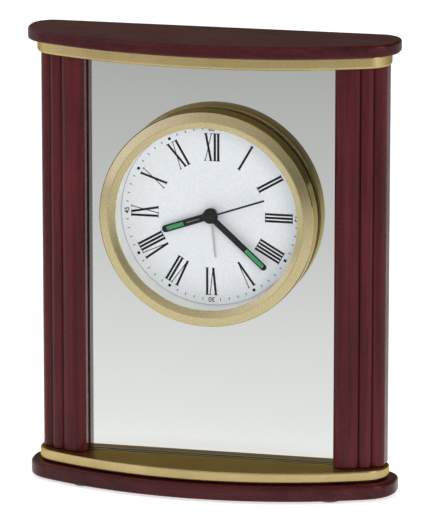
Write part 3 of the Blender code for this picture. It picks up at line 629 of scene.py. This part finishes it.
for clockwise, text in ((0.0, "60"), (90.0, "15"), (180.0, "30"), (270.0, "45")):
    letters = bpy.data.curves.new("digits", "FONT")
    letters.body, letters.size, letters.align_x = text, 2.8, "CENTER"
    letters.offset, letters.extrude = 0.035, 0.02
    drawn = bpy.data.objects.new("digits", letters)
    bpy.context.scene.collection.objects.link(drawn)
    graph = bpy.context.evaluated_depsgraph_get()
    solid = bpy.data.meshes.new_from_object(drawn.evaluated_get(graph))
    bpy.data.objects.remove(drawn)
    corners = placed([tuple(v.co[:2]) for v in solid.vertices], clockwise, 34.9)
    points = [(x, y, INK + 0.02 - v.co.z) for (x, y), v in zip(corners, solid.vertices)]
    shape = (points, [tuple(f.vertices)[::-1] for f in solid.polygons], [0.0] * len(points))
    piece(f"dial_minutes_{text}", shape, "dial_print")


# Hands.
def blade(reach, width, hub):
    """Outline of a hand that points up from a round hub, with a round tip."""
    half = width / 2
    around = math.degrees(math.asin(half / hub))
    out = [(half * math.cos(math.radians(a)), reach - half + half * math.sin(math.radians(a)))
           for a in range(0, 181, 10)]
    step = (180.0 - 2 * around) / 24
    sweep = (start - around - step * k for start in (360.0, 180.0) for k in range(25))
    return out + [polar(hub, a) for a in sweep]


# Each row: name, body, reach, width, hub radius, bore radius, front, thickness, degrees clockwise,
# material, and where its luminous strip starts and ends.
HANDS = (
    ("alarm_hand", "alarm_disc", 18.0, 0.6, 2.9, 2.2, -11.0, 0.3, 174.0, "silver_hand", None),
    ("hour_hand", "hour", 21.6, 3.0, 3.1, 1.6, -12.1, 0.4, 251.0, "black_hand", (12.0, 19.6)),
    ("minute_hand", "minute", 31.6, 2.6, 3.2, 1.05, -13.4, 0.4, 132.0, "black_hand", (20.4, 29.8)),
    ("second_hand", "seconds", 24.4, 0.75, 2.5, 0.5, -14.7, 0.3, 71.0, "black_hand", None),
)
for name, body, reach, width, hub, bore, y, thick, angle, look, strip in HANDS:
    holes = [ring(bore, 48)]
    if strip:
        holes.append(round_box(-0.85, 0.85, *strip, 0.3))
        inlay = placed(round_box(-0.75, 0.75, strip[0] + 0.1, strip[1] - 0.1, 0.3), angle, 0.0)
        lume = slab(inlay, y - 0.1, y + thick - 0.05, (0.12, 0.0), steps=4)
        node = name.replace("hand", "lume")
        piece(node + "_strip", lume, "lume_green", [node], body)
    if name == "hour_hand":
        holes.append(round_box(-0.14, 0.14, 4.8, strip[0] - 1.2, 0.12))
    arm = slab(placed(blade(reach, width, hub), angle, 0.0), y, y + thick, (0.12, 0.0),
               [placed(hole, angle, 0.0) for hole in holes], steps=4)
    piece(name + "_piece", arm, look, [name], body)
piece("second_hand_cap", slab(ring(1.3, 48), -15.0, -14.71, (0.15, 0.0), steps=4), "black_hand",
      body="seconds")

# Back of the insert.
motion_at, alarm_at = polar(10.0, 300.0), polar(12.0, 60.0)
opening = round_box(-24.2, 24.2, -29.9, -18.1, 0.6)
switch_slot = round_box(-4.2, 4.2, 29.2, 31.8, 0.5)
cover = [slab(ring(44.6, 192), COVER_FRONT, COVER_BACK, (0.0, 0.5),
              [opening, switch_slot, ring(1.2, 32, motion_at), ring(1.2, 32, alarm_at)]),
         turned([(41.6, -1.5, 0), (43.4, -1.5, 0), (43.4, 4.3, 0), (41.6, 4.3, 0)]),
         turned([(42.3, COVER_BACK - 0.2, 0), (43.1, COVER_BACK - 0.2, 0),
                 (43.1, COVER_BACK + 0.12, 0.05), (42.3, COVER_BACK + 0.12, 0.05)])]
for side in (-1, 1):
    cover.append(slab(round_box(*sorted((side * 25.4, side * 26.8)), -30.6, -16.6, 0.4),
                      COVER_BACK - 0.5, COVER_BACK + 1.6, (0.0, 0.3)))
arc = [polar(6.4, a) for a in range(-50, 51, 5)] + [polar(5.9, a) for a in range(50, -51, -5)]
arrow_head = [polar(7.2, 50.0), polar(6.15, 66.0), polar(5.1, 50.0)]
for knob_at in (motion_at, alarm_at):
    for loop in (arc, arrow_head):
        mark = [(knob_at[0] + x, knob_at[1] + y) for x, y in loop]
        cover.append(slab(mark, COVER_BACK - 0.2, COVER_BACK + 0.2))
piece("insert_back", joined(*cover), "black_plastic", ["back_cover"])
door = [slab(round_box(-25.1, 25.1, -30.6, -17.4, 0.8), COVER_BACK + 0.2, COVER_BACK + 1.3,
             (0.0, 0.35))]
door += [slab(round_box(-6.0, 6.0, -29.0 + 1.6 * k, -28.4 + 1.6 * k, 0.25), COVER_BACK + 1.0,
              COVER_BACK + 1.8, (0.0, 0.25)) for k in range(3)]
piece("battery_hatch", joined(*door), "black_plastic", ["battery_door"], "door")
switch = [slab(round_box(-4.6, 0.6, 28.6, 32.4, 0.4), COVER_FRONT - 0.75, COVER_FRONT - 0.15),
          slab(round_box(-3.6, -0.4, 29.5, 31.5, 0.4), COVER_FRONT - 0.5, COVER_BACK + 1.6, (0.0, 0.3))]
piece("alarm_slider", joined(*switch), "red_plastic", ["alarm_switch"], "switch")
knob_front, flutes = COVER_BACK + 0.3, 18
for name, body, place in (("time_knob", "motion_work", motion_at),
                          ("alarm_knob", "alarm_setting", alarm_at)):
    rim = []
    for i in range(flutes * 8):
        wave = 0.5 + 0.5 * math.cos(2 * math.pi * i / 8)
        x, y = polar(4.05 + 0.35 * wave**0.6, 360.0 * i / (flutes * 8))
        rim.append((place[0] + x, place[1] + y))
    well = (place, [(knob_front, 0.75), (knob_front + 2.6, 0.75)], False)
    grip = slab(rim, knob_front, knob_front + 4.2, (0.0, 0.35), wells=[well], steps=4)
    piece(name + "_grip", grip, "black_plastic", [name], body)


# Stage, in metres: floor, what glass and gloss see of it, and a white surround for the camera.
def glow(name, spots=None):
    """White light, or light that changes from front to back by a ramp's spots."""
    made = bpy.data.materials.new(name)
    made.use_nodes = True
    tree = made.node_tree
    tree.nodes.remove(tree.nodes["Principled BSDF"])
    light = add(tree, "Emission", {"Color": (1.0, 1.0, 1.0, 1.0), "Strength": 1.0})
    if spots:
        depth = add(tree, "SeparateXYZ", {0: add(tree, "TexCoord").outputs["Object"]}).outputs[1]
        tree.links.new(ramp(tree, spread(tree, depth, -1.0, 1.1, 0.0, 1.0), *spots), light.inputs[0])
    tree.links.new(light.outputs[0], tree.nodes["Material Output"].inputs[0])
    return made


def backdrop(name, points, faces, look):
    mesh = bpy.data.meshes.new(name)
    mesh.from_pydata(points, [], faces)
    mesh.materials.append(look)
    made = bpy.data.objects.new(name, mesh)
    bpy.context.scene.collection.objects.link(made)
    return made


def sheet(name, z, look):
    """A level square, 12 m wide."""
    corners = [(x, y, z) for x, y in box(-6.0, 6.0, -6.0, 6.0)]
    made = backdrop(name, corners, [(0, 1, 2, 3)], look)
    return made


floor_look, tree, skin = shader("floor", Roughness=0.8, Emission_Color=(1, 1, 1, 1),
                                Emission_Strength=0.58)
grain = noise(tree, coords(tree), 40.0, 4)
wire(tree, skin, Base_Color=ramp(tree, grain, (0.3, (0.84, 0.84, 0.84)), (0.7, (0.88, 0.88, 0.88))))
sheet("floor", 0.0, floor_look)
front_to_back = ((0.0, 0.5), (0.26, 0.66), (0.4, 0.86), (0.47, 0.95), (0.53, 0.8), (0.69, 0.58),
                 (0.86, 0.44), (1.0, 0.31))
tones = [(place, (bright, bright * 1.008, bright * 0.985)) for place, bright in front_to_back]
card = sheet("floor_tone", 0.0006, glow("floor_tone", tones))
card.visible_camera = card.visible_diffuse = card.visible_shadow = False

points, faces, _ = turned([(0.0, -8.0, 0), (8.0, -8.0, 0), (8.0, 8.0, 0), (0.0, 8.0, 0)], 64)
surround = backdrop("surround", points, faces, glow("surround"))
surround.visible_diffuse = surround.visible_glossy = surround.visible_shadow = False
surround.visible_transmission = False

# World light, which all but camera rays see: bright at the left front, dark at the right rear.
world = bpy.data.worlds.new("studio")
bpy.context.scene.world = world
world.use_nodes = True
tree = world.node_tree
window = Vector((-0.85, -0.5, 0.15)).normalized()
facing = add(tree, "VectorMath", {0: add(tree, "TexCoord").outputs["Generated"], 1: window},
             operation="DOT_PRODUCT").outputs["Value"]
sky = ramp(tree, spread(tree, facing, -1.0, 1.0, 0.0, 1.0), (0.0, (0.04, 0.04, 0.04)),
           (0.4, (0.125, 0.11, 0.085)), (0.56, (0.32, 0.32, 0.31)), (0.7, (0.56, 0.56, 0.53)),
           (0.84, (0.58, 0.58, 0.58)), (1.0, (1.04, 1.06, 1.25)))
tree.links.new(sky, tree.nodes["Background"].inputs[0])


def softbox(name, place, size, radiance):
    """An area light aimed at the clock. Its energy follows from its radiance and its size."""
    data = bpy.data.lights.new(name, "AREA")
    data.shape, data.size, data.size_y = "RECTANGLE", *size
    data.energy = radiance * math.pi * size[0] * size[1]
    made = bpy.data.objects.new(name, data)
    made.location = place
    made.rotation_euler = (Vector((0, 0, 0.1)) - Vector(place)).to_track_quat("-Z", "Y").to_euler()
    bpy.context.scene.collection.objects.link(made)
    return made


overhead = softbox("overhead", (-0.1, -0.15, 1.3), (0.6, 0.5), 4.5)
overhead.visible_glossy = False
softbox("right", (1.3, -0.5, 0.5), (0.5, 0.9), 2.9)
fill = softbox("fill", (1.2, -2.0, 0.9), (1.2, 1.0), 4.5)
rear_fill = softbox("rear_fill", (0.9, 1.9, 0.8), (1.2, 1.0), 3.0)
for lamp in (fill, rear_fill):
    lamp.visible_glossy = lamp.visible_transmission = False
